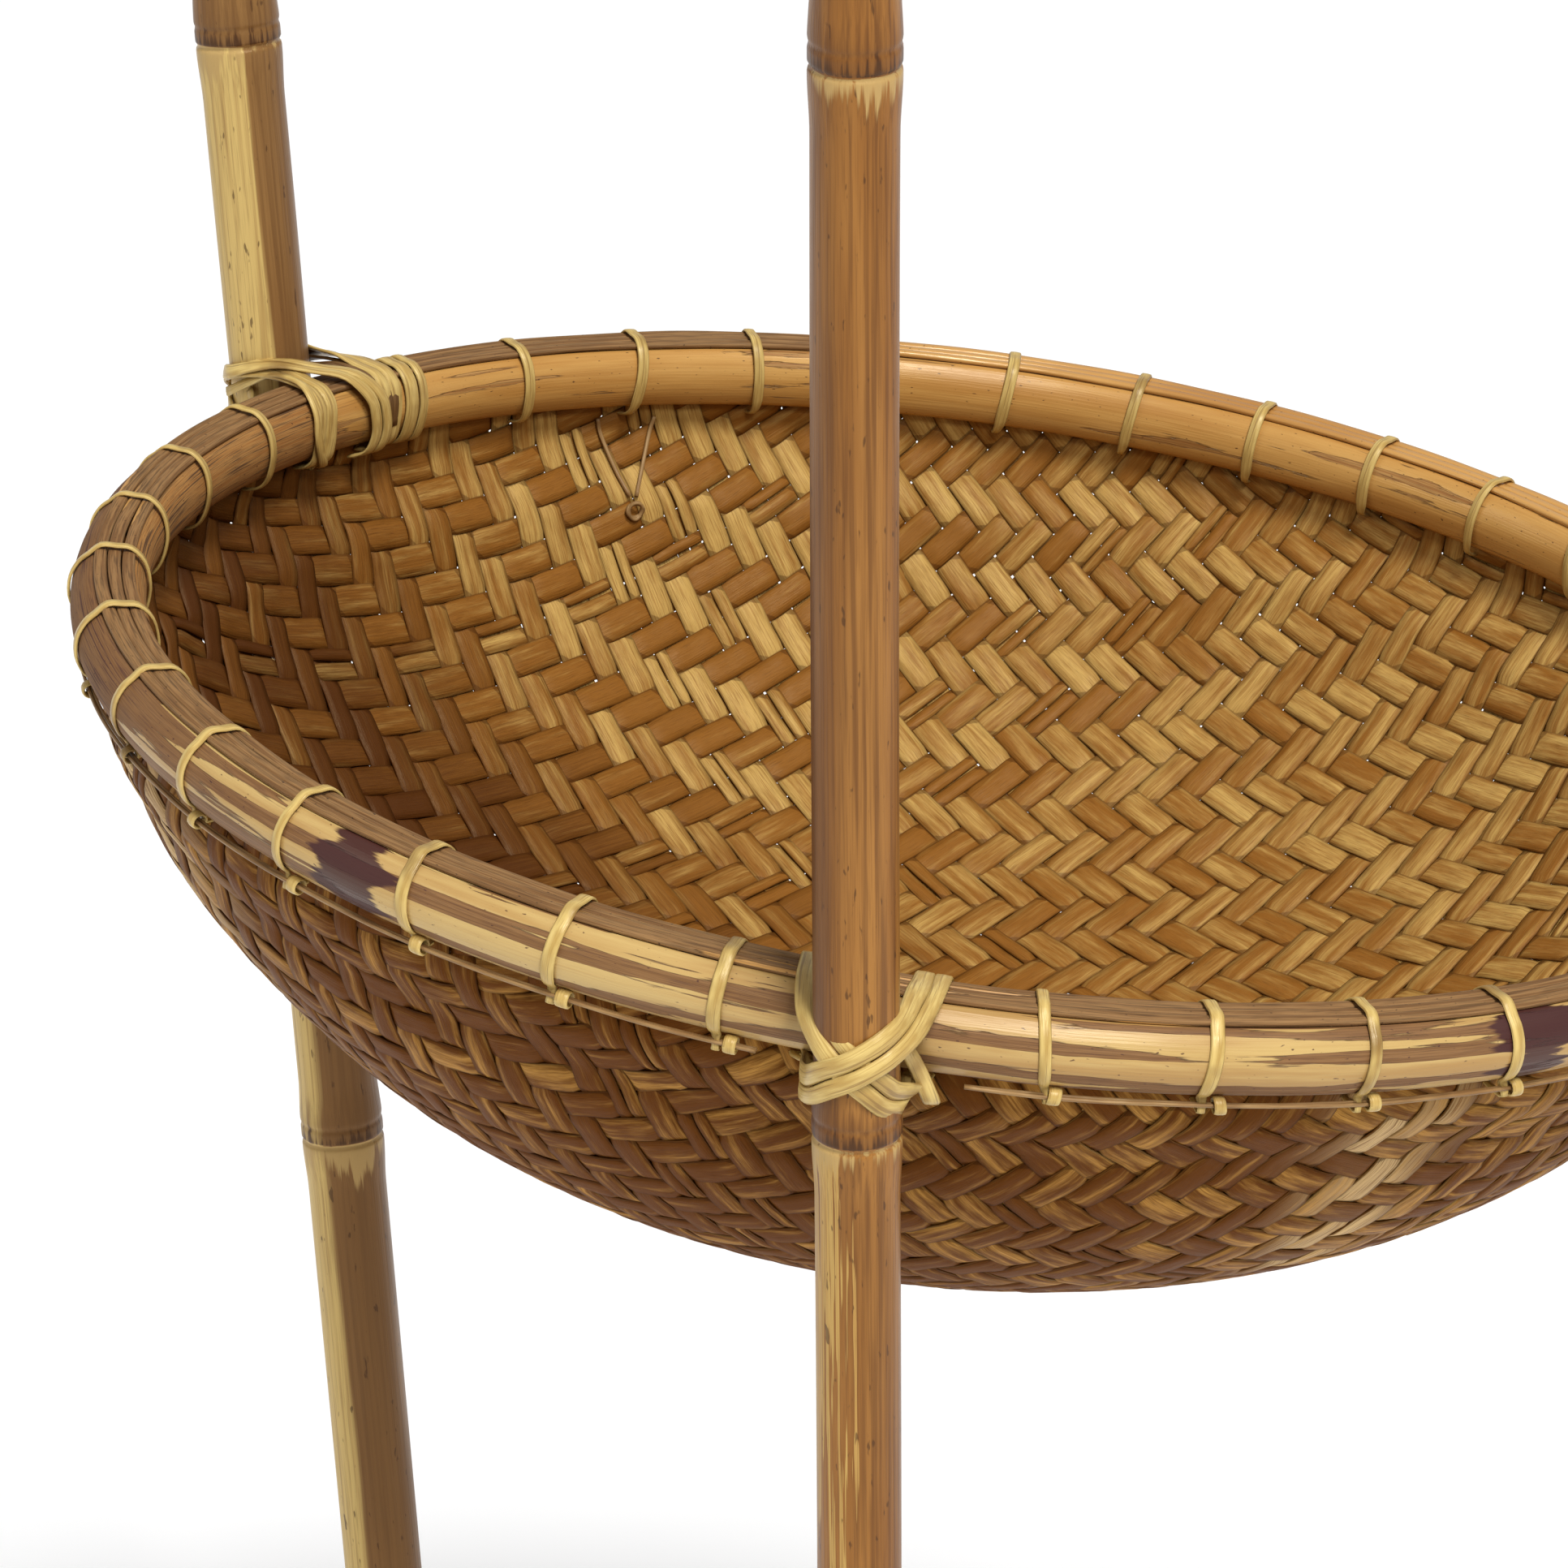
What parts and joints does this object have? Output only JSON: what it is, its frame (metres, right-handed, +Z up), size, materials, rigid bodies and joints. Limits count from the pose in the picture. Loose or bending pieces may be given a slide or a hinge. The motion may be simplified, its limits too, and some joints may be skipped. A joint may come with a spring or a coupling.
{
  "type": "bamboo basket stand",
  "caption": "Floor stand of leaning bamboo poles that hold one wide, shallow twill-woven bowl basket by cane lashings at its hooped rim.",
  "frame": {"origin": "centre of the stand's outline box at floor level, below the bowl", "axes": "+Z up; the front pole stands on the -Y side and the basket leans down towards +X"},
  "size_m": [0.6118, 0.637, 1.09],
  "materials": {
    "culm_brown": "smoked bamboo with fine upright fibres, satin",
    "culm_golden": "golden bamboo with one browned side, satin",
    "culm_tan": "tan mottled bamboo, satin",
    "hoop_golden": "split bamboo, glossy golden skin with torn brown patches",
    "hoop_warm": "split bamboo, warm orange brown, satin",
    "splint_dark": "thin dark bamboo splints, dull",
    "cane": "split rattan cane, straw yellow, glossy",
    "cane_thin": "thin rattan cane, dull straw",
    "weave": "woven bamboo strips, golden tan inside and darker outside, satin"
  },
  "bodies": {
    "root": {"pole_front": "culm_brown", "pole_rear_left": "culm_golden", "pole_rear_right": "culm_tan", "outer_hoop": "hoop_golden", "inner_hoop": "hoop_warm", "rim_splint_inner": "splint_dark", "rim_splint_middle": "splint_dark", "rim_splint_outer": "splint_dark", "runner_cane": "cane_thin", "rim_binding_loops": "cane", "runner_keepers": "cane", "woven_bowl": "weave", "mending_tie": "cane_thin", "rim_wraps_rear_left": "cane", "rim_wraps_rear_right": "cane", "lashing_front_rising": "cane", "lashing_front_falling": "cane", "lashing_rear_left_rising": "cane", "lashing_rear_left_falling": "cane", "lashing_rear_right_rising": "cane", "lashing_rear_right_falling": "cane"}
  },
  "joints": []
}
